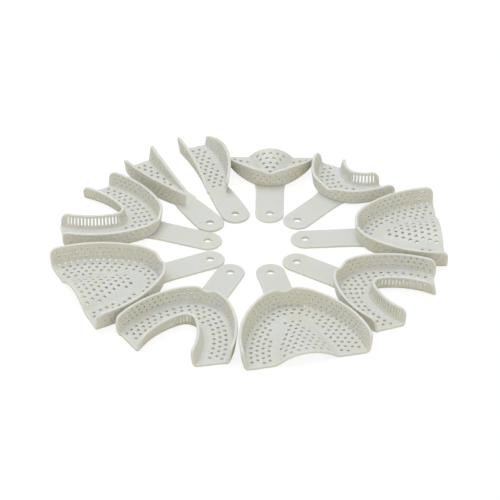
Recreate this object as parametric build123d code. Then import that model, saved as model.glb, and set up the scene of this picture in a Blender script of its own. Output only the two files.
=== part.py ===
from build123d import *
import math
import os

# A set of ten dental impression trays, laid out in a ring with the handles to the middle.
# Every tray is one injection moulding in ivory plastic: a perforated trough for the teeth
# and a flat strap handle with a hanging hole. Nothing is screwed, clipped or glued on.
# Frame: +Z up, origin on the table under the middle of the set, all sizes in millimetres.

# ---- sizes shared by all trays ----
SHELL = 2.0            # moulded thickness of floors, walls and palates
DRAFT = 8.0            # outward lean of the outer wall, degrees
HEEL_RADIUS = 3.0      # outside rounding where wall turns into floor
COVE_RADIUS = 1.6      # inside rounding where floor turns into wall
RIM_ROUND = 0.7        # rounding of the top edge of the outer wall
WALL_CORNER = 5.0      # rounding of the wall's back corners, seen from the side
FRONT_CORNER = 8.0     # the same on the lower front tray
OVERRUN = 14.0         # length modelled past the back edge and then trimmed off

STRAP_WIDTH = 18.8     # handle
STRAP_THICK = SHELL    # flush with the floor of the bowl
HANG_HOLE = 5.0        # diameter, through the strap, on the centre of its round end
STRAP_FLARE = 1.4      # how much each side of the strap widens at the wall

FLOOR_HOLE = 2.1       # perforation diameters and spacing
FLOOR_PITCH = 4.8
FLOOR_ROWS = (-5.6, -9.3, -13.0, -16.7, -20.4)  # how far each row lies inside the outline
BEND_ROW = (-1.45, 1.65, 42.0)  # row in the bend of the full uppers: place, height, tilt in degrees
WALL_HOLE = 1.3
WALL_PITCH = 4.1
WALL_ROWS = (4.8, 7.6, 10.4)  # heights of the rows of wall perforations
EDGE_LAND = 3.0        # unperforated strip kept along every cut edge

TONGUE_WALL = 9.0      # height of the inner wall of the lower trays above the floor
TONGUE_LEAN = 13.0     # its lean towards the tongue, degrees
TONGUE_ARCH = (20.0, 10.0)  # half width at the back and front radius of its foot
TONGUE_FRONT = 22.0    # from the front of the outline to the front of its foot
SLOT_WIDTH = 1.1       # upright slots in the tongue wall
SLOT_PITCH = 2.3
PLAIN_HEEL = 3.5       # end of the tongue wall without slots; much longer on the large tray
PLAIN_HEEL_LARGE = 26.0
HEEL_SLANT = 10.0      # how much further back the tongue side of each limb ends

PALATE_NOSE = 14.0     # from the front of the outline to the front of the palate
PALATE_FRONT = 11.5    # half width of the palate behind its round front

# ---- the ten trays: where the hanging hole is, which way the tray points, and its size ----
# hole x, hole y, heading in degrees, reach from hole to front wall, depth of the bowl,
# half width across the back, radius of the front of the arch, wall height
FULL_TRAYS = {
    "upper_tray_large": ("upper", 13.2, -27.2, -76.5, 36, 58.5, 39.5, 25, 14.5),
    "lower_tray_large": ("lower", -12.7, -27.2, -113.5, 36, 51, 38.2, 24, 13.0),
    "upper_tray_medium": ("upper", -25.6, -12.8, -154.5, 35, 60, 38.0, 24, 14.0),
    "lower_tray_medium": ("lower", -27.6, 8.4, 159, 35, 51, 38.0, 23, 12.5),
    "upper_tray_small": ("upper", 35.8, 10.4, 4, 34, 54.5, 36.5, 24, 13.5),
    "lower_tray_small": ("lower", 30.2, -15.4, -33.5, 33, 48.5, 37.0, 23, 12.5),
}
FRONT_TRAYS = {
    "anterior_tray_upper": ("upper", 12.9, 39.6, 89, 32, 35.5, 32.0, 20, 15.5),
    "anterior_tray_lower": ("lower", 31.2, 32.0, 50.5, 33, 31.5, 33.5, 26, 12.5),
}
FRONT_ARCH_DEPTH = 46.0    # depth of the whole arch that the front trays are a part of
FRONT_LOW_WALL = 3.4       # wall height left at the two back ends of the upper front tray
SIDE_TRAYS = {
    "quadrant_tray_left": (-1, -26.3, 29.0, 123.5),
    "quadrant_tray_right": (1, -9.6, 39.2, 111.5),
}
SIDE_REACH = 25.5      # hole to the nose of a quadrant tray
SIDE_BACK = 86.0       # hole to its back edge
SIDE_WALL = 15.0       # top of the cheek wall where it is highest
SIDE_WALL_ENDS = (9.0, 8.5)     # its height at the nose and at the back edge
SIDE_TONGUE_START = 38.0        # the tongue wall rises out of the floor here
SIDE_TONGUE_WALL = 10.5         # and is this high at the back
SIDE_TONGUE_BOW = 1.6           # how far its top stands over a straight slope
SIDE_ROOT = 7.0        # half width of the strap where it meets a quadrant tray

RING_SHIFT = (0.8, 2.3)  # moves the ring so that the origin is under the middle of the set
BIG = 200.0


def below_table():
    return Pos(0, 0, -BIG / 2) * Box(2 * BIG, 2 * BIG, BIG)


class Arch:
    """Plan outline of a dental arch: one front arc between two longer side arcs.

    The front of the arch touches y = reach and the back edge is at y = reach + depth.
    Every parallel outline is made of arcs about the same three centres.
    """

    def __init__(self, reach, depth, half_width, front_radius):
        self.front = front_radius
        rise = depth - front_radius
        self.side = (half_width**2 + rise**2 - front_radius**2) / (2 * (half_width - front_radius))
        self.turn = math.asin((self.side - half_width) / (self.side - front_radius))
        self.front_y = reach + front_radius
        self.side_x = half_width - self.side
        self.back_y = reach + depth

    def on_front(self, angle, off):
        r = self.front + off
        return (r * math.sin(angle), self.front_y - r * math.cos(angle))

    def on_side(self, angle, off):
        r = self.side + off
        return (self.side_x + r * math.sin(angle), self.back_y - r * math.cos(angle))

    def face(self, off, z=0.0):
        """Area inside the outline moved outwards by off, run on past the back edge."""
        quarter = math.pi / 2
        corner, middle = self.on_side(self.turn, off), self.on_side((self.turn + quarter) / 2, off)
        back = self.on_side(quarter, off)
        end = (back[0], self.back_y + OVERRUN)

        def p(point, sign):
            return (sign * point[0], point[1], z)

        top = self.on_front(0, off)
        return Face(Wire([
            Edge.make_three_point_arc(p(back, -1), p(middle, -1), p(corner, -1)),
            Edge.make_three_point_arc(p(corner, -1), p(top, 1), p(corner, 1)),
            Edge.make_three_point_arc(p(corner, 1), p(middle, 1), p(back, 1)),
            Edge.make_line(p(back, 1), p(end, 1)),
            Edge.make_line(p(end, 1), p(end, -1)),
            Edge.make_line(p(end, -1), p(back, -1)),
        ]))

    def outside_by(self, x, y):
        """Distance from the outline to a point outside it."""
        x = abs(x)
        if y > self.back_y:
            return x - self.side_x - self.side
        angle = math.atan2(x, self.front_y - y)
        if 0 <= angle < self.turn:
            return math.hypot(x, self.front_y - y) - self.front
        return math.hypot(x - self.side_x, self.back_y - y) - self.side

    def stations(self, off, pitch, staggered, land=EDGE_LAND, last_y=None):
        """Evenly spaced points along a parallel outline, each with its outward direction."""
        front_run = (self.front + off) * self.turn
        side_run = (self.side + off) * (math.pi / 2 - self.turn)
        count = int((front_run + side_run) / pitch) + 1
        for k in range(-count, count + 1):
            run = (k + (0.5 if staggered else 0.0)) * pitch
            sign = 1 if run >= 0 else -1
            run = abs(run)
            if run > front_run + side_run - land:
                continue
            if run < front_run:
                angle = run / (self.front + off)
                x, y = self.on_front(angle, off)
            else:
                angle = self.turn + (run - front_run) / (self.side + off)
                x, y = self.on_side(angle, off)
            if last_y is None or y < last_y - land:
                yield sign * x, y, sign * math.sin(angle), -math.cos(angle)


class Crown:
    """Arched top edge of a wall, seen from the side: an arc through three points (y, z)."""

    def __init__(self, start, middle, end):
        self.points = [(0, *start), (0, *middle), (0, *end)]
        circle = Edge.make_three_point_arc(*self.points)
        self.radius = circle.radius
        self.centre = circle.arc_center

    def height(self, y):
        return self.centre.Z + math.sqrt(self.radius**2 - (y - self.centre.Y) ** 2)

    def above(self, x_from, x_to):
        """Everything over the edge between two places across the tray."""
        (_, y0, z0), _, (_, y1, z1) = self.points
        lid = Face(Wire([
            Edge.make_three_point_arc(*self.points),
            Edge.make_line((0, y1, z1), (0, y1 + OVERRUN, z1)),
            Edge.make_line((0, y1 + OVERRUN, z1), (0, y1 + OVERRUN, BIG / 4)),
            Edge.make_line((0, y1 + OVERRUN, BIG / 4), (0, y0, BIG / 4)),
            Edge.make_line((0, y0, BIG / 4), (0, y0, z0)),
        ]))
        return Pos(x_from, 0, 0) * extrude(lid, x_to - x_from, dir=(1, 0, 0))


def pan(outer_face, inner_face_at, height, draft=DRAFT):
    """Floor with a leaning wall all round, rounded at the heel, the cove and the rim."""
    block = extrude(outer_face, height, taper=-draft)
    hollow = extrude(inner_face_at, height, taper=-draft)

    def round_edges(z, solid):
        return [e for e in solid.edges() if abs(e.center().Z - z) < 0.01 and e.geom_type == GeomType.CIRCLE]

    block = fillet(round_edges(0, block), HEEL_RADIUS)
    hollow = fillet(round_edges(SHELL, hollow), COVE_RADIUS)
    shell = block - hollow
    rim = [e for e in shell.edges() if abs(e.center().Z - height) < 0.01 and e.geom_type == GeomType.CIRCLE]
    return fillet(rim, RIM_ROUND)


def arch_pan(arch, height):
    lean = math.tan(math.radians(DRAFT))
    return pan(arch.face(0), arch.face(SHELL * lean - SHELL / math.cos(math.radians(DRAFT)), SHELL), height)


def handle(reach, root_half, blend, stop_past=4.0):
    """Flat strap with a round end about the hanging hole, widening into the wall."""
    half = STRAP_WIDTH / 2
    start, stop = reach - blend, reach + stop_past
    sides = []
    for s in (1, -1):
        sides.append(Edge.make_line((s * half, 0), (s * half, start)))
        sides.append(Edge.make_three_point_arc(
            (s * half, start), (s * (half + 0.24 * (root_half - half)), (start + stop) / 2),
            (s * root_half, stop)))
    tip = Edge.make_three_point_arc((half, 0), (0, -half), (-half, 0))
    root = Edge.make_line((root_half, stop), (-root_half, stop))
    strap = extrude(Face(Wire([tip, root] + sides)), STRAP_THICK, dir=(0, 0, 1))
    ends = [e for e in strap.edges() if e.geom_type == GeomType.CIRCLE and e.center().Y < 0]
    strap = fillet(ends, 0.6)
    return strap - Pos(0, 0, STRAP_THICK / 2) * Cylinder(HANG_HOLE / 2, 3 * STRAP_THICK)


def upright_pin(x, y, diameter, height=60.0):
    return Pos(x, y, 0) * Cylinder(diameter / 2, height)


def level_pin(x, y, z, nx, ny, diameter, length):
    plane = Plane(origin=(x - nx * length / 2, y - ny * length / 2, z), z_dir=(nx, ny, 0))
    return plane.location * Cylinder(diameter / 2, length, align=(Align.CENTER, Align.CENTER, Align.MIN))


def wall_pins(arch, height, last_y=None):
    """Rows of holes through the outer wall, square to the arch."""
    lean = math.tan(math.radians(DRAFT))
    pins = []
    for row, z in enumerate(WALL_ROWS):
        if z > height - 2.2:
            continue
        middle = z * lean - SHELL / 2
        for x, y, nx, ny in arch.stations(middle, WALL_PITCH, row % 2 == 1, last_y=last_y):
            pins.append(level_pin(x, y, z, nx, ny, WALL_HOLE, 3.2 * SHELL))
    return pins


class Vault:
    """Palate: a round-fronted cone lying along the tray with its axis below the table."""

    def __init__(self, nose_y, back_y, front_half, back_half, rise):
        over_floor = rise - SHELL
        self.back = (over_floor**2 + back_half**2) / (2 * over_floor)
        self.sunk = self.back - rise
        self.front = math.hypot(self.sunk + SHELL, front_half)
        self.centre_y, self.back_y = nose_y + front_half, back_y

    def solid(self, inset):
        front, back = self.front - inset, self.back - inset
        end = self.back_y + OVERRUN / 2
        grow = (back - front) / (self.back_y - self.centre_y)
        angle = math.asin(min(grow, 0.9))
        touch = (front * math.cos(angle), self.centre_y - front * math.sin(angle))
        wide = touch[0] + (end - touch[1]) * math.tan(angle)
        bulge = (-math.pi / 2 - angle) / 2
        outline = Face(Wire([
            Edge.make_three_point_arc(
                (0, self.centre_y - front),
                (front * math.cos(bulge), self.centre_y + front * math.sin(bulge)), touch),
            Edge.make_line(touch, (wide, end)),
            Edge.make_line((wide, end), (0, end)),
            Edge.make_line((0, end), (0, self.centre_y - front)),
        ]))
        return Pos(0, 0, -self.sunk) * revolve(outline, Axis.Y, 360)

    def radius_at(self, y):
        grow = (self.back - self.front) / (self.back_y - self.centre_y)
        if y >= self.centre_y:
            return self.front + grow * (y - self.centre_y)
        return math.sqrt(max(self.front**2 - (self.centre_y - y) ** 2, 0.0))

    def half_width(self, y, z):
        """Half the breadth of the palate at height z."""
        return math.sqrt(max(self.radius_at(y) ** 2 - (self.sunk + z) ** 2, 0.0))

    def pins(self, pitch, diameter):
        """Staggered holes square to the palate, clear of its foot and of the back edge."""
        pins, row = [], 0
        step = pitch * 0.87
        y = self.back_y - EDGE_LAND - diameter / 2
        while y > self.centre_y - self.front:
            rho = self.radius_at(y)
            if rho > self.sunk + SHELL + 0.6:
                reach = math.acos((self.sunk + SHELL + 1.6) / rho) if rho > self.sunk + SHELL + 1.6 else 0
                count = int(rho * reach / pitch)
                for k in range(-count - 1, count + 2):
                    around = (k + 0.5 * (row % 2)) * pitch / rho
                    if abs(around) > reach:
                        continue
                    x, z = (rho - 1) * math.sin(around), (rho - 1) * math.cos(around) - self.sunk
                    plane = Plane(origin=(x, y, z), z_dir=(math.sin(around), 0, math.cos(around)))
                    pins.append(plane.location * Cylinder(diameter / 2, 4.6 * SHELL))
            y, row = y - step, row + 1
        return pins


def bend_pins(arch, last_y):
    """Row of holes square to the rounded bend between the floor and the outer wall."""
    off, z, tilt = BEND_ROW
    out, down = math.sin(math.radians(tilt)), -math.cos(math.radians(tilt))
    pins = []
    for x, y, nx, ny in arch.stations(off, WALL_PITCH, False, last_y=last_y):
        plane = Plane(origin=(x, y, z), z_dir=(nx * out, ny * out, down))
        pins.append(plane.location * Cylinder(WALL_HOLE / 2, 2.6 * SHELL))
    return pins


def floor_pins(arch, rows, diameter, last_y, clear=None):
    pins = []
    for index, off in enumerate(rows):
        for x, y, nx, ny in arch.stations(off, FLOOR_PITCH, index % 2 == 1, last_y=last_y):
            if clear is None or clear(x, y):
                pins.append(upright_pin(x, y, diameter))
    return pins


def frenum_notch(reach, height):
    """Shallow dip in the rim on the midline, for the fold behind the lip."""
    return Pos(0, reach, height + 4.0) * Rot(90, 0, 0) * Cylinder(6.4, 16)


def side_prism(points, half_width, inner=0.0):
    """A side-view outline made into a block across the tray, or two blocks beside a gap."""
    outline = Face(Wire.make_polygon([(0, y, z) for y, z in points], close=True))
    blocks = Pos(inner, 0, 0) * extrude(outline, half_width - inner, dir=(1, 0, 0))
    return blocks + Pos(-inner, 0, 0) * extrude(outline, half_width - inner, dir=(-1, 0, 0))


def wall_corner(end_y, height, inner, r=WALL_CORNER):
    """Rounds the back top corner of the two wall ends, seen from the side."""
    square = Pos(0, end_y - r / 2 + 10, height - r / 2 + 10) * Box(BIG, r + 20, r + 20)
    round_bar = Pos(0, end_y - r, height - r) * Rot(0, 90, 0) * Cylinder(r, BIG)
    keep = (Pos(0, end_y - r - 20, height) * Box(BIG, 40, 60)
            + Pos(0, end_y, height - r - 30) * Box(BIG, 60, 60))
    corner = square - round_bar - keep
    return corner - Box(2 * inner, BIG * 2, BIG) if inner else corner


def plan_trim(points):
    """Everything behind a back edge drawn in plan from left to right."""
    left, right = points[0], points[-1]
    outline = [left, *points[1:-1], right, (right[0], BIG), (left[0], BIG)]
    area = Face(Wire.make_polygon([(x, y, 0) for x, y in outline], close=True))
    return Pos(0, 0, -5) * extrude(area, 60, dir=(0, 0, 1))


def straight_back(back_y):
    return plan_trim([(-BIG / 2, back_y), (BIG / 2, back_y)])


def slanted_back(outer_y, outer_half, slant, inner_half):
    """Limb ends cut on a slant, the tongue side further back than the cheek side."""
    slope = slant / (outer_half - inner_half)
    far = 1.5 * outer_half
    far_y = outer_y - slope * (far - outer_half)
    return plan_trim([(-far, far_y), (-inner_half, outer_y + slant),
                      (inner_half, outer_y + slant), (far, far_y)])


def sloped_top(start_y, end_y, height, low):
    """Takes the wall of the upper front tray down to its low back ends."""
    return side_prism([(start_y, height + 0.2), (end_y, low), (end_y + 60, low), (end_y + 60, 50),
                       (start_y, 50)], BIG / 2)


def tongue_wall(reach, depth):
    """Inner wall of a lower tray and the open space for the tongue inside it."""
    foot = Arch(reach + TONGUE_FRONT, depth, *TONGUE_ARCH)
    top = SHELL + TONGUE_WALL
    wall = extrude(foot.face(0), top, taper=TONGUE_LEAN)
    space = extrude(foot.face(-SHELL), BIG / 10, taper=TONGUE_LEAN)
    space = space + Pos(0, 0, -1) * extrude(foot.face(-SHELL), 1.01)
    return foot, wall, space


def tongue_slots(foot, plain_heel, end_y):
    """Row of narrow upright slots through the tongue wall, short of its plain heel."""
    slots = []
    for x, y, nx, ny in foot.stations(-SHELL, SLOT_PITCH, False, land=plain_heel, last_y=end_y):
        turn = math.degrees(math.atan2(ny, nx))
        slots.append(Pos(x, y, SHELL + 3.8) * Rot(0, 0, turn) * Box(6.0, SLOT_WIDTH, 5.6))
    return slots


def solid_cutters(shapes):
    return [s for shape in shapes for s in shape.solids()]


def perforate(body, pins):
    return body.solids()[0].cut(*solid_cutters(pins)).solids().sort_by(SortBy.VOLUME)[-1]


def upper_tray(reach, depth, half_width, front_radius, height, arch_depth=None):
    """A full upper tray, or the front part of one when arch_depth is longer than depth."""
    short = arch_depth is not None
    arch = Arch(reach, arch_depth or depth, half_width, front_radius)
    back_y = reach + depth
    body = arch_pan(arch, height)
    if short:
        vault = Vault(reach + 11.5, back_y, 9.5, 15.0, 9.5)
        body = body - sloped_top(reach + 8, back_y, height, FRONT_LOW_WALL)
    else:
        vault = Vault(reach + PALATE_NOSE, back_y, PALATE_FRONT, half_width / 2, 8.5)
        body = body - wall_corner(back_y, height, 0)
    body = (body + (vault.solid(0) - below_table())) - vault.solid(SHELL)
    body = body - frenum_notch(reach, height) - straight_back(back_y)
    body = body + handle(reach, STRAP_WIDTH / 2 + STRAP_FLARE, 7.0)

    def clear(x, y):
        if y < vault.centre_y:
            return math.hypot(x, y - vault.centre_y) > vault.half_width(vault.centre_y, SHELL) + 2.3
        return abs(x) > vault.half_width(min(y, back_y), SHELL) + 2.3

    pins = wall_pins(arch, height, last_y=back_y - (6 if short else 0))
    if not short:
        pins += bend_pins(arch, back_y)
    pins += floor_pins(arch, FLOOR_ROWS, FLOOR_HOLE, back_y, clear)
    pins += vault.pins(FLOOR_PITCH, FLOOR_HOLE)
    return perforate(body, pins)


def lower_tray(reach, depth, half_width, front_radius, height, arch_depth=None, plain_heel=PLAIN_HEEL):
    """A full lower tray, or the front part of one when arch_depth is longer than depth."""
    short = arch_depth is not None
    arch = Arch(reach, (arch_depth or depth + 6), half_width, front_radius)
    back_y = reach + depth
    slant = HEEL_SLANT * (0.3 if short else 1.0)
    body = arch_pan(arch, height)
    body = body - wall_corner(back_y, height, 23, FRONT_CORNER if short else WALL_CORNER)
    foot, wall, space = tongue_wall(reach, (arch_depth or depth + slant) - TONGUE_FRONT)
    body = (body + wall) - space - slanted_back(back_y, half_width, slant, TONGUE_ARCH[0])
    body = body - frenum_notch(reach, height)
    body = body + handle(reach, STRAP_WIDTH / 2 + STRAP_FLARE, 7.0)
    inner_half = TONGUE_ARCH[0]

    def clear(x, y):
        slope = slant / (half_width - inner_half)
        edge = back_y + slope * (half_width - abs(x))
        return foot.outside_by(x, y) > 2.4 and y < edge - EDGE_LAND - 1

    pins = wall_pins(arch, height, last_y=back_y)
    pins += floor_pins(arch, FLOOR_ROWS, FLOOR_HOLE, back_y + slant, clear)
    pins += tongue_slots(foot, plain_heel, back_y + slant)
    return perforate(body, pins)


def quadrant_tray(side):
    """Half-arch tray: tall cheek wall, lower tongue wall, and a floor open to the handle."""
    nose, back = SIDE_REACH, SIDE_BACK
    run_on = back + OVERRUN
    cheek = [(3.0, nose), (14.0, 55.0), (12.6, back)]
    tongue = [(-8.0, nose + 5), (-5.8, 58.0), (-7.6, back)]

    def arc(points, off, z):
        (x0, y0), (x1, y1), (x2, y2) = points
        return Edge.make_three_point_arc((x0 + off, y0, z), (x1 + off, y1, z), (x2 + off, y2, z))

    def outline(off, z, grow=0.0):
        a, b = cheek, tongue
        return Face(Wire([
            arc(a, off, z),
            Edge.make_line((a[2][0] + off, back, z), (a[2][0] + off, run_on, z)),
            Edge.make_line((a[2][0] + off, run_on, z), (b[2][0] - off, run_on, z)),
            Edge.make_line((b[2][0] - off, run_on, z), (b[2][0] - off, back, z)),
            arc(b, -off, z),
            Edge.make_line((b[0][0] - off, b[0][1], z), (a[0][0] + off, a[0][1], z)),
        ]))

    lean = math.tan(math.radians(DRAFT))
    block = extrude(outline(0, 0), SIDE_WALL, taper=-DRAFT)
    hollow = extrude(outline(SHELL * lean - SHELL * 1.01, SHELL), SIDE_WALL, taper=-DRAFT)
    body = block - hollow
    # the cheek wall is crowned, and the tongue wall rises out of the floor towards the back
    split = -1.5
    top = SHELL + SIDE_TONGUE_WALL
    middle = (SIDE_TONGUE_START + back) / 2
    cheek_top = Crown((nose - 8, SIDE_WALL_ENDS[0]), ((nose + back) / 2 + 4, SIDE_WALL),
                      (back, SIDE_WALL_ENDS[1]))
    tongue_top = Crown((SIDE_TONGUE_START, SHELL), (middle, (SHELL + top) / 2 + SIDE_TONGUE_BOW), (back, top))
    body = body - cheek_top.above(split, BIG / 2) - tongue_top.above(-BIG / 2, split)
    in_front = Pos(split - BIG / 4, SIDE_TONGUE_START - BIG / 2, SHELL + BIG / 8)
    body = body - in_front * Box(BIG / 2, BIG, BIG / 4)
    # the front end is open: the floor runs out onto the handle
    door = Face(Wire.make_polygon(
        [(-6.0, nose - 6), (1.2, nose - 6), (6.4, nose + 9), (-6.0, nose + 9)], close=True))
    body = body - Pos(0, 0, SHELL) * extrude(door, BIG / 8) - straight_back(back)
    strap = handle(nose + 6, SIDE_ROOT, 29.0, stop_past=2.0)
    body = body + strap

    pins = []
    for row in range(13):
        y = nose + 10 + FLOOR_PITCH * 0.87 * row
        if y > back - EDGE_LAND - 1:
            continue
        for k in range(-4, 5):
            x = 2.6 + (k + 0.5 * (row % 2)) * FLOOR_PITCH
            along = (y - nose) / (back - nose)
            left, right = -6.8, 3.0 + 10.0 * math.sin(min(1.0, along * 2.1) * math.pi / 2)
            if left + 3.4 < x < right - 3.4:
                pins.append(upright_pin(x, y, FLOOR_HOLE))
    for points, outward, crown in ((cheek, 1, cheek_top), (tongue, -1, tongue_top)):
        for row, z in enumerate(WALL_ROWS):
            wall_line = arc(points, outward * (z * lean - SHELL / 2), 0)
            length = wall_line.length
            for k in range(int((length - 10) / WALL_PITCH) + 1):
                run = 6.0 + (k + 0.5 * (row % 2)) * WALL_PITCH
                if run > length - 3.5:
                    continue
                at, along = wall_line @ (run / length), wall_line % (run / length)
                if at.Y < crown.points[0][1] or crown.height(at.Y) < z + WALL_HOLE + 1:
                    continue
                nx, ny = outward * along.Y, -outward * along.X
                pins.append(level_pin(at.X, at.Y, z, nx, ny, WALL_HOLE, 3.0 * SHELL))
    body = perforate(body, pins)
    return body if side > 0 else mirror(body, about=Plane.YZ)


def placed(body, x, y, heading):
    return Pos(x + RING_SHIFT[0], y + RING_SHIFT[1], 0) * Rot(0, 0, heading - 90) * body


os.makedirs("parts", exist_ok=True)

trays = {}
makers = {"upper": upper_tray, "lower": lower_tray}
for name, (kind, x, y, heading, *size) in FULL_TRAYS.items():
    more = {"plain_heel": PLAIN_HEEL_LARGE} if name == "lower_tray_large" else {}
    trays[name] = placed(makers[kind](*size, **more), x, y, heading)
for name, (kind, x, y, heading, *size) in FRONT_TRAYS.items():
    trays[name] = placed(makers[kind](*size, arch_depth=FRONT_ARCH_DEPTH), x, y, heading)
for name, (side, x, y, heading) in SIDE_TRAYS.items():
    trays[name] = placed(quadrant_tray(side), x, y, heading)

for name, tray in trays.items():
    export_step(tray.solids()[0], f"parts/{name}.step", write_pcurves=False)
    print(name, "volume", round(tray.solids()[0].volume), "mm3, faces", len(tray.faces()))
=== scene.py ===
# %% [markdown]
# # Ten dental impression trays in a ring
# A stock set of impression trays: full uppers and lowers in three sizes, an upper and a lower for the
# front teeth, and a left and a right quadrant. Each one is a single injection moulding in ivory plastic,
# about 2 mm thick everywhere, pierced so that the impression paste locks into it.
#
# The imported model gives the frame: where each tray lies and how big it is. A moulded shell is one skin
# that bends, so this lesson builds each arch tray as one pierced sheet, folds it up and gives it its
# thickness. Boolean cuts would work too, but they leave long thin faces and no rounding at the holes.

# %% The frame
import math
import bpy
import numpy as np
from mathutils.geometry import delaunay_2d_cdt
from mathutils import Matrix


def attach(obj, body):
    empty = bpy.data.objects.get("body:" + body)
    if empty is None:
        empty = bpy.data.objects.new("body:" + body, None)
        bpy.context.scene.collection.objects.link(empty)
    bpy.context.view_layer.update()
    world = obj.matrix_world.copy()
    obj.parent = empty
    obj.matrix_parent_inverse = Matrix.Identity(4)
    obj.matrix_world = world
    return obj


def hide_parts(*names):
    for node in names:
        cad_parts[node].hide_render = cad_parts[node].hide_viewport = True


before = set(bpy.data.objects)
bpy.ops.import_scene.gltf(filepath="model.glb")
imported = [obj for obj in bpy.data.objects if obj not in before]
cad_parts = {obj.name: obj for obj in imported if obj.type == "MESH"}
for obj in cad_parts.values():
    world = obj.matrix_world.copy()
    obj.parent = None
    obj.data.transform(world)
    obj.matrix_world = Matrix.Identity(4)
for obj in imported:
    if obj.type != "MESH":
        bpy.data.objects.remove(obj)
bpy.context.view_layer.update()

MM = 0.001

# %% [markdown]
# ## The camera
# The set is shown from the front and above, from far away with a long lens, so that the near and the far
# trays look almost the same size. A camera that stands on a circle about the middle of the ring needs
# only a distance and a height angle; its tilt follows from them.

# %% The camera
CAMERA_RISE = math.radians(35.1)
CAMERA_DISTANCE = 1.6
CAMERA_LENS = 177.8   # mm on the standard 36 mm sensor
RING_X, RING_Y = 0.8, 2.3   # middle of the ring of handles, mm, from the middle of the whole set

camera = bpy.data.objects.new("camera", bpy.data.cameras.new("camera"))
bpy.context.collection.objects.link(camera)
camera.location = (RING_X * MM, RING_Y * MM - CAMERA_DISTANCE * math.cos(CAMERA_RISE),
                   CAMERA_DISTANCE * math.sin(CAMERA_RISE))
camera.rotation_euler = (math.pi / 2 - CAMERA_RISE, 0, 0)
camera.data.lens = CAMERA_LENS
bpy.context.scene.camera = camera
bpy.context.scene.view_settings.view_transform = "Standard"
print("camera", [round(v, 3) for v in camera.location])

# %% [markdown]
# ## Writing shaders as sums
# A material is a graph of small nodes, and a graph is hard to read as a list of links. Wrapping a socket
# in a class with +, - and * lets the maths stand as it would on paper. Colours are mixed with Mix nodes,
# since a Math node would turn them grey.

# %% A socket that can be added and multiplied


class Wire:
    """An output socket in a material, with arithmetic that adds Math nodes."""

    def __init__(self, tree, socket):
        self.tree = tree
        self.socket = socket

    def node(self, kind, settings=None, out=0, **inputs):
        """Adds any node: its settings first, then the values or wires of its sockets."""
        node = self.tree.nodes.new(kind)
        for name, value in (settings or {}).items():
            if name == "stops":
                fill_ramp(node.color_ramp, value)
            else:
                setattr(node, name, value)
        for name, value in inputs.items():
            key = int(name[1:]) if name[0] == "_" else name.replace("_", " ")
            if isinstance(value, Wire):
                self.tree.links.new(value.socket, node.inputs[key])
            else:
                node.inputs[key].default_value = value
        return Wire(self.tree, node.outputs[out] if len(node.outputs) else None)

    def maths(self, operation, *values):
        sockets = {f"_{i}": value for i, value in enumerate(values)}
        return self.node("ShaderNodeMath", {"operation": operation}, **sockets)

    def __add__(self, other):
        return self.maths("ADD", self, other)

    def __sub__(self, other):
        return self.maths("SUBTRACT", self, other)

    def __mul__(self, other):
        return self.maths("MULTIPLY", self, other)

    def __rsub__(self, other):
        return self.maths("SUBTRACT", other, self)

    __radd__ = __add__
    __rmul__ = __mul__

    def mix(self, low, high):
        """Colour that runs from low to high as this wire goes from 0 to 1."""
        return self.node("ShaderNodeMix", {"data_type": "RGBA"}, out=2, _0=self, _6=low, _7=high)


def fill_ramp(ramp, stops):
    while len(ramp.elements) < len(stops):
        ramp.elements.new(0.5)
    for element, (place, value) in zip(ramp.elements, stops):
        element.position = place
        element.color = (value, value, value, 1)


def plain_colour(red, green, blue):
    """A colour as it is named on screen, 0 to 255, turned into the light values that shaders use."""
    def light(c):
        return c / 255 / 12.92 if c <= 10 else ((c / 255 + 0.055) / 1.055) ** 2.4

    return (light(red), light(green), light(blue), 1)


def new_material(name):
    material = bpy.data.materials.new(name)
    material.use_nodes = True
    material.node_tree.nodes.clear()
    return material, Wire(material.node_tree, None)


print("shader helper ready")

# %% [markdown]
# ## Ivory plastic
# The trays are moulded in a stiff ivory styrene. Up close it is not one colour: the melt leaves faint
# flow clouds and the tool leaves a fine satin texture. The rounded rims and hole edges are painted a
# little paler, a painted highlight, and are made a little glossier. Light soaks a millimetre or two into
# it and comes back warmer, which is why the shaded walls look creamy, so the shader gets some
# subsurface scattering with red and green reaching further than blue.

# %% Ivory plastic
IVORY = plain_colour(229, 229, 225)
CREAM = plain_colour(227, 224, 208)
RIM_HIGHLIGHT = plain_colour(240, 240, 233)


def ivory_plastic():
    material, m = new_material("ivory_plastic")
    place = m.node("ShaderNodeTexCoord", out=3)
    clouds = m.node("ShaderNodeTexNoise", Vector=place, Scale=38.0, Detail=3.0, Roughness=0.55)
    flow = m.node("ShaderNodeValToRGB", {"stops": [(0.35, 0.0), (0.68, 1.0)]}, Fac=clouds)
    satin = m.node("ShaderNodeTexNoise", Vector=place, Scale=2600.0, Detail=2.0, Roughness=0.5)
    ripple = m.node("ShaderNodeTexNoise", Vector=place, Scale=210.0, Detail=2.0, Roughness=0.4)
    rim = m.node("ShaderNodeAttribute", {"attribute_name": "rim"}, out=2)
    body = (flow * 0.6).mix(IVORY, CREAM)
    # painted highlight: the rounded rims and hole edges are painted paler than the body
    colour = (rim * 0.7).mix(body, RIM_HIGHLIGHT)
    rough = clouds * 0.10 + satin * 0.08 + 0.30 - rim * 0.07
    height = satin * 0.25 + ripple * 0.75
    normal = m.node("ShaderNodeBump", Height=height, Strength=0.35, Distance=0.00006)
    shader = m.node("ShaderNodeBsdfPrincipled", Base_Color=colour, Roughness=rough, Normal=normal, IOR=1.53,
                    Subsurface_Weight=0.35, Subsurface_Radius=(1.0, 0.82, 0.45), Subsurface_Scale=0.0035)
    m.node("ShaderNodeOutputMaterial", Surface=shader)
    return material


IVORY_PLASTIC = ivory_plastic()
print("material with", len(IVORY_PLASTIC.node_tree.nodes), "nodes")

# %% [markdown]
# ## Light and table
# Catalogue light: a big soft box above, an even white surround, and a slightly warm fill from the front.
# The table is white card. To the camera it shows paper white with only a trace of the trays' shadow,
# while the trays themselves still get its real bounce light.

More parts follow.
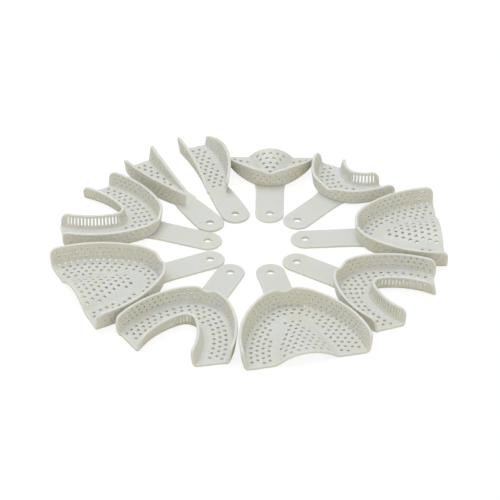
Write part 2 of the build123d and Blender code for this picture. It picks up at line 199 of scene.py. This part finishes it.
# %% Light and table
SOFT_BOX = 1.3
TOP_POWER = 8.4
FILL_POWER = 2.0
SURROUND = 0.56
ROOM_LOW = (1.0, 0.94, 0.76, 1)      # warm near the horizon
ROOM_HIGH = (0.92, 0.96, 1.0, 1)     # cooler overhead
CARD_WHITE = 0.80


def lamp(name, place, size, power, colour):
    light = bpy.data.objects.new(name, bpy.data.lights.new(name, "AREA"))
    bpy.context.collection.objects.link(light)
    light.data.shape = "DISK"
    light.data.size = size
    light.data.energy = power
    light.data.color = colour
    light.location = place
    down = -light.location
    light.rotation_euler = down.to_track_quat("-Z", "Y").to_euler()
    return light


lamp("soft_box", (-0.25, 0.25, 1.3), SOFT_BOX, TOP_POWER, (0.90, 0.94, 1.0))
lamp("front_fill", (0.5, -1.4, 0.6), 0.8, FILL_POWER, (1.0, 0.93, 0.70))


def white_surround():
    world = bpy.data.worlds.new("surround")
    bpy.context.scene.world = world
    world.use_nodes = True
    world.node_tree.nodes.clear()
    w = Wire(world.node_tree, None)
    seen = w.node("ShaderNodeLightPath", out=0)
    direction = w.node("ShaderNodeTexCoord", out=0)
    height = w.node("ShaderNodeSeparateXYZ", out=2, Vector=direction)
    walls_to_ceiling = height.mix(ROOM_LOW, ROOM_HIGH)
    room = w.node("ShaderNodeBackground", Color=walls_to_ceiling, Strength=SURROUND)
    paper = w.node("ShaderNodeBackground", Color=(1, 1, 1, 1), Strength=1.0)
    both = w.node("ShaderNodeMixShader", _0=seen, _1=room, _2=paper)
    w.node("ShaderNodeOutputWorld", Surface=both)


def card_material():
    material, m = new_material("white_card")
    seen = m.node("ShaderNodeLightPath", out=0)
    card = m.node("ShaderNodeBsdfDiffuse", Color=(CARD_WHITE, 0.97 * CARD_WHITE, 0.88 * CARD_WHITE, 1))
    glow = m.node("ShaderNodeEmission", Color=(1, 1, 1, 1), Strength=0.86)
    shade = m.node("ShaderNodeBsdfDiffuse", Color=(0.2, 0.2, 0.2, 1))
    paper = m.node("ShaderNodeAddShader", _0=glow, _1=shade)
    both = m.node("ShaderNodeMixShader", _0=seen, _1=card, _2=paper)
    m.node("ShaderNodeOutputMaterial", Surface=both)
    return material


def table_card(half=3.0):
    mesh = bpy.data.meshes.new("table_card")
    corners = [(-half, -half, 0), (half, -half, 0), (half, half, 0), (-half, half, 0)]
    mesh.from_pydata(corners, [], [(0, 1, 2, 3)])
    card = bpy.data.objects.new("table_card", mesh)
    bpy.context.collection.objects.link(card)
    mesh.materials.append(card_material())
    card.location.z = -0.0001


white_surround()
table_card()
print("lamps and card set")

# %% [markdown]
# ## The line of the arch
# Every arch tray is drawn about the same plan line: one arc round the front and a longer, flatter arc
# down each side, meeting without a kink. A spline could do it, but arcs keep every parallel line exact,
# so walls, rows of holes and rims all follow by moving the line outwards or inwards by a known distance.

# %% The line of the arch
SKIN = 2.0   # thickness of the moulding, mm; the sheet that is folded is its middle


class Arch:
    """Plan line of a dental arch in millimetres; a run is a distance along it from the middle."""

    def __init__(self, reach, depth, half_width, front):
        rise = depth - front
        self.front = front
        self.side = (half_width**2 + rise**2 - front**2) / (2 * (half_width - front))
        self.turn = math.asin((self.side - half_width) / (self.side - front))
        self.front_y = reach + front
        self.side_x = half_width - self.side
        self.back_y = reach + depth
        self.front_run = front * self.turn
        self.arc_run = self.front_run + self.side * (math.pi / 2 - self.turn)

    def foot(self, run):
        """Point of the line, outward direction and radius there."""
        far = np.abs(run)
        ahead = far < self.front_run
        bend = np.where(ahead, far / self.front, self.turn + (far - self.front_run) / self.side)
        bend = np.minimum(bend, math.pi / 2)
        radius = np.where(ahead, self.front, self.side)
        x = np.where(ahead, 0.0, self.side_x) + radius * np.sin(bend)
        y = np.where(ahead, self.front_y, self.back_y) - radius * np.cos(bend)
        y = y + np.maximum(far - self.arc_run, 0)
        hand = np.where(np.asarray(run) < 0, -1.0, 1.0)
        return hand * x, y, hand * np.sin(bend), -np.cos(bend), np.where(far > self.arc_run, 1e9, radius)

    def beside(self, run, offset):
        """Plan point at a distance along the line and outwards from it."""
        x, y, nx, ny, _ = self.foot(run)
        return np.stack([x + nx * offset, y + ny * offset], axis=-1)

    def nearest(self, plan):
        """For plan points: the point of the line, the outward direction, and how far out they lie."""
        far, y = np.abs(plan[:, 0]), plan[:, 1]
        hand = np.where(plan[:, 0] < 0, -1.0, 1.0)
        ahead = np.arctan2(far, self.front_y - y) < self.turn
        dx = np.where(ahead, far, far - self.side_x)
        dy = y - np.where(ahead, self.front_y, self.back_y)
        dy = np.where(~ahead & (dy > 0), 0.0, dy)
        away = np.maximum(np.hypot(dx, dy), 1e-9)
        nx, ny = dx / away, dy / away
        offset = away - np.where(ahead, self.front, self.side)
        return hand * (far - nx * offset), y - ny * offset, hand * nx, ny, offset

    def run_at(self, y):
        """How far along the line a crosswise cut at y meets it."""
        if y > self.back_y:
            return self.arc_run + y - self.back_y
        return self.front_run + self.side * (math.acos((self.back_y - y) / self.side) - self.turn)

    def stations(self, offset, pitch, staggered, end):
        """Runs that lie evenly spaced along the parallel line at this offset."""
        bow = (self.front + offset) / self.front, (self.side + offset) / self.side
        front = self.front_run * bow[0]
        total = front + (end - self.front_run) * bow[1]
        steps = (np.arange(-int(total / pitch) - 1, int(total / pitch) + 2) + 0.5 * staggered) * pitch
        steps = steps[np.abs(steps) < total]
        far = np.abs(steps)
        run = np.where(far < front, far / bow[0], self.front_run + (far - front) / bow[1])
        return np.where(steps < 0, -run, run)


print("the arch of the large upper tray is", round(2 * Arch(36, 58.5, 39.5, 25).arc_run), "mm round")

# %% [markdown]
# ## The cross-section of a wall
# The floor runs flat, turns up through a rounded bend and goes on as a leaning wall. Moulders round the
# bend because sharp corners crack and trap air. Measured along its own middle, the section unrolls to a
# straight strip: that is what lets a wall be drawn flat, holes and all, and then folded up.

# %% The cross-section of a wall


class Bend:
    """Flat floor, round bend, leaning wall, all measured along the middle of the skin."""

    def __init__(self, lean, table_line, radius):
        self.lean, self.radius = math.radians(lean), radius
        self.turn = math.pi / 2 - self.lean
        cut = radius * math.tan(self.turn / 2)
        self.start = table_line + math.tan(self.lean) * SKIN / 2 - cut
        self.arc = radius * self.turn
        self.arc_top = SKIN / 2 + radius * (1 - math.cos(self.turn))

    def at(self, run):
        """Outward place, height, and the direction across the skin, towards its upper side."""
        angle = np.clip(run / self.radius, 0, self.turn)
        wall = np.maximum(run - self.arc, 0)
        out = self.start + self.radius * np.sin(angle) + wall * math.sin(self.lean)
        up = SKIN / 2 + self.radius * (1 - np.cos(angle)) + wall * math.cos(self.lean)
        return out, up, -np.sin(angle), np.cos(angle)

    def run_to(self, height):
        return self.arc + (np.asarray(height, float) - self.arc_top) / math.cos(self.lean)

    def levels(self, top, step):
        """Runs from the floor to the rim: close together in the bend, wider up the wall."""
        bend = np.linspace(0, self.arc, 7)
        wall = np.arange(self.arc + step, top, step)
        return np.concatenate([bend, wall])


OUTER = Bend(lean=8.0, table_line=-1.01, radius=2.6)
TONGUE = Bend(lean=13.0, table_line=1.0, radius=1.8)
TONGUE_SQUEEZE = 0.6   # the tongue wall folds towards the middle of a tight arc, so it is drawn shorter
print("outer bend starts", round(-OUTER.start, 2), "mm inside the outline")

# %% [markdown]
# ## The palate
# An upper tray rises in the middle to follow the roof of the mouth. The rise is part of a cone with a
# round nose lying along the tray, most of it below the table. Where it comes out of the floor a small
# blend keeps the fold soft, as the moulding has it.

# %% The palate
FOLD_BLEND = 1.6


class Palate:
    """Height of the middle of the skin over an upper tray."""

    def __init__(self, nose, back_y, front_half, back_half, rise):
        over_floor = rise - SKIN
        self.back = (over_floor**2 + back_half**2) / (2 * over_floor)
        self.sunk = self.back - rise
        self.front = math.hypot(self.sunk + SKIN, front_half)
        self.centre_y, self.back_y = nose + front_half, back_y
        self.grow = (self.back - self.front) / (back_y - self.centre_y)

    def radius(self, y):
        ahead = np.sqrt(np.maximum(self.front**2 - (self.centre_y - y) ** 2, 0.0))
        return np.where(y >= self.centre_y, self.front + self.grow * (y - self.centre_y), ahead)

    def height(self, x, y):
        roof = np.sqrt(np.maximum((self.radius(y) - SKIN / 2) ** 2 - x**2, 0.0)) - self.sunk
        floor = SKIN / 2
        near = np.maximum(FOLD_BLEND - np.abs(roof - floor), 0) / FOLD_BLEND
        return np.maximum(roof, floor) + near**2 * FOLD_BLEND / 4

    def half_width(self, y):
        return np.sqrt(np.maximum(self.radius(y) ** 2 - (self.sunk + SKIN) ** 2, 0.0))


# %% [markdown]
# ## From a flat sheet to a moulding
# The sheet is triangulated flat: its outline and every hole are loops that no triangle may cross, and
# extra points go where it will bend. Then each point is folded to its place with the exact direction
# across the skin, and a second copy makes the other side. Along every edge a few more rows of points
# turn the corner, so rims and holes are rounded in real geometry and catch the light.

# %% From a flat sheet to a moulding
HOLE_SIDES = 16
HOLE_EASE = 0.25      # rounding of the edge of a hole, mm
RIM_EASE = 0.8        # rounding of rims and outlines
CLEAR = 0.55          # extra points keep this far from holes


def ring_of(count):
    return np.linspace(0, 2 * math.pi, count, endpoint=False)


def triangulate(outline, holes, inside):
    """Flat triangles of a pierced sheet, and which loop each point lies on: 0 outline, 1.. holes, -1 none."""
    loops = [np.asarray(outline)] + [np.asarray(h) for h in holes]
    points, edges, member = [], [], []
    for number, loop in enumerate(loops):
        first = len(points)
        count = len(loop)
        points += loop.tolist()
        edges += [(first + i, first + (i + 1) % count) for i in range(count)]
        member += [number] * count
    points += np.asarray(inside).tolist()
    member += [-1] * len(inside)
    made = delaunay_2d_cdt(points, edges, [], 1, 1e-6)
    flat = np.array([tuple(p) for p in made[0]])
    loop_of = np.array([max([member[k] for k in came] or [-1]) for came in made[3]])
    faces = np.array(made[2])
    of_face = loop_of[faces]
    plug = (of_face[:, 0] > 0) & (of_face[:, 0] == of_face[:, 1]) & (of_face[:, 1] == of_face[:, 2])
    return flat, faces[~plug], loop_of


def boundary_walk(faces):
    """Directed edges that only one triangle has, as arrays of their start and end points."""
    sides = np.concatenate([faces[:, [0, 1]], faces[:, [1, 2]], faces[:, [2, 0]]])
    known = {(a, b) for a, b in sides.tolist()}
    open_sides = np.array([(a, b) for a, b in sides.tolist() if (b, a) not in known])
    return open_sides[:, 0], open_sides[:, 1]


def unit(rows):
    return rows / np.maximum(np.linalg.norm(rows, axis=1, keepdims=True), 1e-12)


def mould(outline, holes, inside, fold):
    """Points, faces, normals and rim marks of the folded sheet at full thickness, in millimetres."""
    flat, faces, loop_of = triangulate(outline, holes, inside)
    used = np.unique(faces)
    renumber = np.full(len(flat), -1)
    renumber[used] = np.arange(len(used))
    flat, faces, loop_of = flat[used], renumber[faces], loop_of[used]
    place, across = fold(flat)
    start, end = boundary_walk(faces)
    away = np.zeros_like(place)
    for a, b in ((start, end), (end, start)):
        side = unit(np.cross(place[end] - place[start], across[a]))
        np.add.at(away, a, side)
    edge = np.unique(start)
    away[edge] = unit(away[edge])
    ease = np.where(loop_of == 0, RIM_EASE, HOLE_EASE)[:, None]
    half = SKIN / 2
    inset = np.where((loop_of >= 0)[:, None], ease, 0.0)
    top = place + across * half - away * inset
    bottom = place - across * half - away * inset
    count = len(place)
    points, normals, marks = [top, bottom], [across, -across], [np.zeros(count), np.zeros(count)]
    all_faces = [faces, faces[:, ::-1] + count]
    order = np.full(count, -1)
    order[edge] = np.arange(len(edge))
    rows = [edge]
    total = 2 * count
    for angle in (30, 60, 90, -90, -60, -30):
        turn = math.radians(angle)
        sign = 1 if angle > 0 else -1
        lift = half - ease[edge] + ease[edge] * math.cos(turn)
        reach = ease[edge] * (abs(math.sin(turn)) - 1)
        points.append(place[edge] + across[edge] * sign * lift + away[edge] * reach)
        normals.append(away[edge] * abs(math.sin(turn)) + across[edge] * sign * math.cos(turn))
        marks.append(np.ones(len(edge)))
        rows.append(total + np.arange(len(edge)))
        total += len(edge)
    rows.append(edge + count)
    quads = []
    for upper, lower in zip(rows, rows[1:]):
        a, b = upper[order[start]], upper[order[end]]
        c, d = lower[order[end]], lower[order[start]]
        quads.append(np.stack([b, a, d, c], axis=1))
    return (np.concatenate(points), all_faces, np.concatenate(quads), np.concatenate(normals),
            np.concatenate(marks))


def joined(parts):
    """Several closed shells as one list of points, faces, normals and marks."""
    points, faces, normals, marks, base = [], [], [], [], 0
    for p, triangles, quads, n, m in parts:
        points.append(p)
        for group in (*triangles, quads):
            faces += (group + base).tolist()
        normals.append(n)
        marks.append(m)
        base += len(p)
    return np.concatenate(points), faces, unit(np.concatenate(normals)), np.concatenate(marks)


def tray_object(name, parts, hole_x, hole_y, heading):
    """Lays the shells at the tray's place in the ring and makes the Blender object."""
    points, faces, normals, marks = joined(parts)
    turn = math.radians(heading - 90)
    spin = np.array([[math.cos(turn), math.sin(turn), 0], [-math.sin(turn), math.cos(turn), 0], [0, 0, 1]])
    points = (points @ spin + np.array([hole_x + RING_X, hole_y + RING_Y, 0])) * MM
    mesh = bpy.data.meshes.new(name)
    mesh.from_pydata(points.tolist(), [], faces)
    # the rim mark picks out the rounded edges, which the shader paints paler as a painted highlight
    mesh.attributes.new("rim", "FLOAT", "POINT").data.foreach_set("value", marks)
    mesh.materials.append(IVORY_PLASTIC)
    mesh.shade_smooth()
    mesh.normals_split_custom_set_from_vertices((normals @ spin).tolist())
    tray = bpy.data.objects.new(name, mesh)
    bpy.context.collection.objects.link(tray)
    return tray


# %% [markdown]
# ## The handle
# A flat strap with a round end and a hanging hole, flaring a little where it meets the wall. It is a
# small sheet of its own that ends inside the foot of the wall, along a line parallel to the arch.

# %% The handle
STRAP_HALF = 9.4
STRAP_FLARE = 1.4
HANG_HOLE = 2.5
BURIED = 2.9          # how far inside the outline the strap ends


def lies_flat(plan):
    place = np.column_stack([plan, np.full(len(plan), SKIN / 2)])
    return place, np.tile([0.0, 0.0, 1.0], (len(plan), 1))


def circle(x, y, radius, sides):
    t = ring_of(sides)
    return np.column_stack([x + radius * np.cos(t), y + radius * np.sin(t)])


def strap(arch, reach, blend=7.0):
    """Handle of an arch tray: round tip, straight sides, a short flare, and an end along the arch."""
    tip = np.linspace(math.pi, 2 * math.pi, 33)
    flare = np.linspace(0, 1, 9)[1:]
    root = STRAP_HALF + STRAP_FLARE
    spread = math.asin(root / (arch.front - BURIED))
    stop = arch.front_y - (arch.front - BURIED) * math.cos(spread)
    side_x = STRAP_HALF + STRAP_FLARE * flare**2
    side_y = reach - blend + (stop - reach + blend) * flare
    end = np.linspace(spread, -spread, 17)[1:-1]
    right = np.column_stack([side_x, side_y])
    left = right[::-1] * (-1, 1)
    radius = arch.front - BURIED
    back = np.column_stack([radius * np.sin(end), arch.front_y - radius * np.cos(end)])
    round_tip = np.column_stack([STRAP_HALF * np.cos(tip), STRAP_HALF * np.sin(tip)])
    rows = np.arange(4.0, reach - blend, 4.0)
    right_side = np.column_stack([np.full(len(rows), STRAP_HALF), rows])
    outline = np.concatenate([round_tip, right_side, right, back, left, right_side[::-1] * (-1, 1)])
    return mould(outline, [circle(0, 0, HANG_HOLE, 32)], np.zeros((0, 2)), lies_flat)


# %% [markdown]
# ## The bowls
# A bowl's flat outline follows the rim of the outer wall, comes down its back end, crosses the floor and,
# on a lower tray, goes up and round the tongue wall. The rim dips at the middle for the fold of skin
# behind the lip, and its back corners are rounded off. Holes are drawn as rings that come out round once
# the sheet is folded.

# %% The bowls
FLOOR_HOLE = 1.05     # radii of the perforations, mm
FLOOR_PITCH = 4.8
FLOOR_ROWS = (-5.6, -9.3, -13.0, -16.7, -20.4)
WALL_HOLE = 0.65
WALL_PITCH = 4.1
WALL_ROWS = (4.8, 7.6, 10.4)
BEND_TILT = 42.0
EDGE_LAND = 3.0
WALL_CORNER = 5.0
DIP, DIP_HALF = 2.2, 7.0
TONGUE_HEIGHT = 11.0
TONGUE_ARCH = (20.0, 10.0)
TONGUE_FRONT = 22.0
TONGUE_CORNER = 5.0
SLOT_PITCH, SLOT_HALF, SLOT_LOW, SLOT_HIGH = 2.3, 0.55, 4.1, 8.5
HEEL_SLANT = 10.0


class Bowl:
    """One arch tray's bowl: the lines it follows and how its flat sheet folds up."""

    def __init__(self, arch, height, cut_y, tongue=None, palate=None, slant=0.0, low_end=None,
                 corner=WALL_CORNER):
        self.arch, self.height, self.cut_y = arch, height, cut_y
        self.tongue, self.palate, self.slant = tongue, palate, slant
        self.low_end, self.corner = low_end, corner
        self.end = arch.run_at(cut_y)
        self.tongue_end = tongue.run_at(cut_y + slant) if tongue else 0.0

    def top(self, run):
        """Height of the middle of the rim along the arch."""
        y = self.arch.foot(run)[1]
        height = np.full(np.shape(run), self.height - 0.1)
        if self.low_end:
            ease = np.clip((y - self.arch.front_y + self.arch.front - 4) / (self.cut_y - self.arch.front_y
                                                                         + self.arch.front - 4), 0, 1)
            height = height - (self.height - self.low_end) * ease**1.25
        near = np.clip(np.abs(run) / DIP_HALF, 0, 1)
        height = height - DIP * (0.5 + 0.5 * np.cos(math.pi * near))
        left = np.clip(self.corner - (self.end - np.abs(run)), 0, self.corner)
        if not self.low_end:
            height = height - (self.corner - np.sqrt(self.corner**2 - left**2))
        return height

    def rim(self, run):
        return OUTER.start + OUTER.run_to(self.top(run))

    def tongue_top(self, run):
        left = np.clip(TONGUE_CORNER - (self.tongue_end - np.abs(run)), 0, TONGUE_CORNER)
        return TONGUE_HEIGHT - 0.1 - (TONGUE_CORNER - np.sqrt(TONGUE_CORNER**2 - left**2))

    def tongue_rim(self, run):
        return -(TONGUE.start + TONGUE_SQUEEZE * TONGUE.run_to(self.tongue_top(run)))

    def fold(self, plan):
        """Folds flat points up into their places."""
        place, across = lies_flat(plan)
        if self.palate:
            x, y, step = plan[:, 0], plan[:, 1], 0.05
            place[:, 2] = self.palate.height(x, y)
            tip_x = (self.palate.height(x + step, y) - self.palate.height(x - step, y)) / (2 * step)
            tip_y = (self.palate.height(x, y + step) - self.palate.height(x, y - step)) / (2 * step)
            across = unit(np.column_stack([-tip_x, -tip_y, np.ones(len(plan))]))
        x, y, nx, ny, offset = self.arch.nearest(plan)
        self.raise_wall(place, across, x, y, nx, ny, offset - OUTER.start, OUTER)
        if self.tongue:
            x, y, nx, ny, offset = self.tongue.nearest(plan)
            run = (-offset - TONGUE.start) / TONGUE_SQUEEZE
            self.raise_wall(place, across, x, y, -nx, -ny, run, TONGUE)
        return place, across

    @staticmethod
    def raise_wall(place, across, x, y, nx, ny, run, bend):
        up = run > 1e-9
        out, height, tip, lift = bend.at(run)
        place[up] = np.column_stack([x + nx * out, y + ny * out, height])[up]
        across[up] = np.column_stack([nx * tip, ny * tip, lift])[up]

    def outline(self):
        def spread(end, corner, step):
            body = np.linspace(0, end - corner, int((end - corner) / step) + 1)
            curl = end - corner * (1 - np.sin(np.linspace(0, math.pi / 2, 8)[1:]))
            half = np.concatenate([body, curl])
            return np.concatenate([-half[:0:-1], half])

        runs = spread(self.end, self.corner, 1.1)
        rim = self.arch.beside(runs, self.rim(runs))
        down = OUTER.levels(self.rim(self.end) - OUTER.start - 0.6, 1.5)[::-1] + OUTER.start
        right_end = self.arch.beside(np.full(len(down), self.end), down)
        left_end = right_end[::-1] * (-1, 1)
        if not self.tongue:
            corner = right_end[-1]
            across = np.linspace(corner[0], -corner[0], int(2 * corner[0] / 1.3))[1:-1]
            back = np.column_stack([across, np.full(len(across), corner[1])])
            return np.concatenate([rim, right_end, back, left_end])
        up = TONGUE.levels(TONGUE.run_to(self.tongue_top(self.tongue_end)) - 0.6, 1.5)
        rise = self.tongue.beside(np.full(len(up), self.tongue_end), -(TONGUE.start + TONGUE_SQUEEZE * up))
        heel = np.linspace(right_end[-1], rise[0], 14)[1:-1]
        inner = spread(self.tongue_end, TONGUE_CORNER, 0.9)[::-1]
        tongue_rim = self.tongue.beside(inner, self.tongue_rim(inner))
        flip = (-1, 1)
        return np.concatenate([rim, right_end, heel, rise, tongue_rim,
                               rise[::-1] * flip, heel[::-1] * flip, left_end])

    def floor_is_clear(self, x, y):
        if self.palate:
            at = self.palate.half_width(np.minimum(np.maximum(y, self.palate.centre_y), self.cut_y))
            beside = np.abs(x) > at + 2.3
            ahead = np.hypot(x, y - self.palate.centre_y) > self.palate.half_width(self.palate.centre_y) + 2.3
            return np.where(y < self.palate.centre_y, ahead, beside) & (y < self.cut_y - EDGE_LAND)
        plan = np.column_stack([x, y])
        offset = self.tongue.nearest(plan)[4]
        outer = self.arch.foot(self.end)[0]
        edge = self.cut_y + self.slant * (outer - np.abs(x)) / (outer - TONGUE_ARCH[0])
        return (offset > 3.1) & (y < edge - EDGE_LAND - 1)

    def floor_holes(self):
        rings = []
        last = self.arch.run_at(self.cut_y + self.slant)
        for index, offset in enumerate(FLOOR_ROWS):
            runs = self.arch.stations(offset, FLOOR_PITCH, index % 2, last)
            centres = self.arch.beside(runs, offset)
            keep = self.floor_is_clear(centres[:, 0], centres[:, 1])
            rings += [circle(x, y, FLOOR_HOLE, HOLE_SIDES) for x, y in centres[keep]]
        return rings

    def wall_holes(self):
        rings = []
        t = ring_of(HOLE_SIDES)
        for index, height in enumerate(WALL_ROWS):
            run_up = float(OUTER.run_to(height))
            out = float(OUTER.at(run_up)[0])
            for run in self.arch.stations(out, WALL_PITCH, index % 2, self.end - EDGE_LAND):
                if self.top(np.array(run)) < height + 2.0:
                    continue
                radius = float(self.arch.foot(run)[4])
                along = run + WALL_HOLE * np.cos(t) * radius / (radius + out)
                rings.append(self.arch.beside(along, OUTER.start + run_up + WALL_HOLE * np.sin(t)))
        return rings

    def bend_holes(self):
        """One row through the bend of a full upper, square to the skin there."""
        rings = []
        if not self.palate or self.low_end:
            return rings
        t = ring_of(HOLE_SIDES)
        run_up = OUTER.radius * math.radians(BEND_TILT)
        out = float(OUTER.at(run_up)[0])
        for run in self.arch.stations(out, WALL_PITCH, 0, self.end - EDGE_LAND):
            radius = float(self.arch.foot(run)[4])
            along = run + WALL_HOLE * np.cos(t) * radius / (radius + out)
            rings.append(self.arch.beside(along, OUTER.start + run_up + WALL_HOLE * np.sin(t)))
        return rings

    def palate_holes(self):
        rings = []
        if not self.palate:
            return rings
        t = ring_of(HOLE_SIDES)
        y, row = self.cut_y - EDGE_LAND - FLOOR_HOLE, 0
        while y > self.palate.centre_y - self.palate.front:
            radius = float(self.palate.radius(np.array(y)))
            low = self.palate.sunk + SKIN + 1.6
            if radius > low:
                limit = math.acos(low / radius)
                for k in range(-int(radius * limit / FLOOR_PITCH) - 1, int(radius * limit / FLOOR_PITCH) + 2):
                    around = (k + 0.5 * (row % 2)) * FLOOR_PITCH / radius
                    if abs(around) <= limit:
                        x = (radius - 1) * math.sin(around)
                        rings.append(np.column_stack([x + FLOOR_HOLE * math.cos(around) * np.cos(t),
                                                      y + FLOOR_HOLE * np.sin(t)]))
            y, row = y - FLOOR_PITCH * 0.87, row + 1
        return rings

    def slots(self, plain_heel):
        """Upright slots with round ends through the tongue wall."""
        rings = []
        if not self.tongue:
            return rings
        top, bottom = np.linspace(0, math.pi, 7), np.linspace(math.pi, 2 * math.pi, 7)
        across = SLOT_HALF * np.cos(np.concatenate([top, bottom]))
        low, high = (float(TONGUE.run_to(z)) for z in (SLOT_LOW, SLOT_HIGH))
        up = np.concatenate([high + SLOT_HALF * np.sin(top), low + SLOT_HALF * np.sin(bottom)])
        for run in self.tongue.stations(-SKIN, SLOT_PITCH, 0, self.tongue_end - plain_heel):
            radius = float(self.tongue.foot(run)[4])
            along = run + across * radius / (radius - TONGUE.at(up)[0])
            rings.append(self.tongue.beside(along, -(TONGUE.start + TONGUE_SQUEEZE * up)))
        return rings

    def bending_points(self, rings):
        """Points inside the sheet where it bends, clear of holes and edges."""
        found = []
        for level in OUTER.levels(OUTER.run_to(self.height), 1.5):
            runs = self.arch.stations(OUTER.at(level)[0], 1.35, 0, self.end - 1.0)
            runs = runs[OUTER.start + level < self.rim(runs) - 1.1]
            found.append(self.arch.beside(runs, OUTER.start + level))
        if self.tongue:
            for level in TONGUE.levels(TONGUE.run_to(TONGUE_HEIGHT), 1.5):
                runs = self.tongue.stations(-TONGUE.at(level)[0], 1.1, 0, self.tongue_end - 1.0)
                runs = runs[level < TONGUE.run_to(self.tongue_top(runs)) - 1.1]
                found.append(self.tongue.beside(runs, -(TONGUE.start + TONGUE_SQUEEZE * level)))
        if self.palate:
            xs, ys = np.meshgrid(np.arange(-30, 30.1, 1.5),
                                 np.arange(self.arch.front_y - 20, self.cut_y - 0.9, 1.5))
            grid = np.column_stack([xs.ravel(), ys.ravel()])
            rise = self.palate.height(grid[:, 0], grid[:, 1])
            inside = self.arch.nearest(grid)[4] < OUTER.start - 1.0
            found.append(grid[(rise > SKIN / 2 + 0.01) & inside])
        points = np.concatenate(found)
        centres = np.array([r.mean(axis=0) for r in rings])
        reach = np.array([np.linalg.norm(r - r.mean(axis=0), axis=1).max() for r in rings])
        apart = np.linalg.norm(points[:, None] - centres[None], axis=2)
        return points[(apart > reach + CLEAR * 0.6).all(axis=1)]

    def shell(self, plain_heel):
        rings = self.floor_holes() + self.wall_holes() + self.bend_holes() + self.palate_holes()
        rings += self.slots(plain_heel)
        return mould(self.outline(), rings, self.bending_points(rings), self.fold), len(rings)


# %% [markdown]
# ## The eight arch trays
# Uppers and lowers share everything but the middle: a palate or a tongue wall. The two front trays are
# the front part of a longer arch, cut off short; the upper one's wall sweeps down to its ends.

# %% The eight arch trays
# kind, hole x, hole y, heading, reach from hole to front wall, depth, half width, front radius, height
ARCH_TRAYS = {
    "upper_tray_large": ("upper", 13.2, -27.2, -76.5, 36, 58.5, 39.5, 25, 14.5),
    "lower_tray_large": ("lower", -12.7, -27.2, -113.5, 36, 51, 38.2, 24, 13.0),
    "upper_tray_medium": ("upper", -25.6, -12.8, -154.5, 35, 60, 38.0, 24, 14.0),
    "lower_tray_medium": ("lower", -27.6, 8.4, 159, 35, 51, 38.0, 23, 12.5),
    "upper_tray_small": ("upper", 35.8, 10.4, 4, 34, 54.5, 36.5, 24, 13.5),
    "lower_tray_small": ("lower", 30.2, -15.4, -33.5, 33, 48.5, 37.0, 23, 12.5),
    "anterior_tray_upper": ("front upper", 12.9, 39.6, 89, 32, 35.5, 32.0, 20, 15.5),
    "anterior_tray_lower": ("front lower", 31.2, 32.0, 50.5, 33, 31.5, 33.5, 26, 12.5),
}
FRONT_ARCH = 46.0             # depth of the whole arch that the front trays are a part of
PLAIN_HEEL = 3.5              # end of the tongue wall without slots
LARGE_PLAIN_HEEL = 26.0       # the same on the large lower tray
LIMB_OVERRUN = 6              # how far a lower tray's arch is drawn past its cut
PALATE_NOSE, FRONT_PALATE_NOSE = 14.0, 11.5
PALATE_FRONT, FRONT_PALATE_FRONT = 11.5, 9.5
PALATE_RISE, FRONT_PALATE_RISE = 8.5, 9.5
FRONT_PALATE_HALF = 15.0
FRONT_LOW_WALL = 3.4          # wall height left at the two back ends of the upper front tray
FRONT_SLANT = 0.3 * HEEL_SLANT
FRONT_CORNER = 8.0


def arch_bowl(kind, reach, depth, half_width, front, height):
    cut = reach + depth
    if kind == "upper":
        arch = Arch(reach, depth, half_width, front)
        palate = Palate(reach + PALATE_NOSE, cut, PALATE_FRONT, half_width / 2, PALATE_RISE)
        return Bowl(arch, height, cut, palate=palate)
    if kind == "lower":
        tongue = Arch(reach + TONGUE_FRONT, depth + HEEL_SLANT - TONGUE_FRONT, *TONGUE_ARCH)
        arch = Arch(reach, depth + LIMB_OVERRUN, half_width, front)
        return Bowl(arch, height, cut, tongue=tongue, slant=HEEL_SLANT)
    arch = Arch(reach, FRONT_ARCH, half_width, front)
    if kind == "front upper":
        palate = Palate(reach + FRONT_PALATE_NOSE, cut, FRONT_PALATE_FRONT, FRONT_PALATE_HALF,
                        FRONT_PALATE_RISE)
        return Bowl(arch, height, cut, palate=palate, low_end=FRONT_LOW_WALL)
    tongue = Arch(reach + TONGUE_FRONT, FRONT_ARCH - TONGUE_FRONT, *TONGUE_ARCH)
    return Bowl(arch, height, cut, tongue=tongue, slant=FRONT_SLANT, corner=FRONT_CORNER)


for name, (kind, x, y, heading, *size) in ARCH_TRAYS.items():
    bowl = arch_bowl(kind, *size)
    shell, hole_count = bowl.shell(LARGE_PLAIN_HEEL if name == "lower_tray_large" else PLAIN_HEEL)
    tray = tray_object(name + "_moulding", [shell, strap(bowl.arch, size[0])], x, y, heading)
    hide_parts(name)
    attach(tray, name)
    print(name, hole_count, "holes,", len(tray.data.polygons), "faces")

# %% [markdown]
# ## The quadrant trays
# The two quadrant trays keep their CAD shape and only take the ivory plastic.

# %% Finish
for name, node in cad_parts.items():
    if name not in ARCH_TRAYS:
        node.data.materials.clear()
        node.data.materials.append(IVORY_PLASTIC)
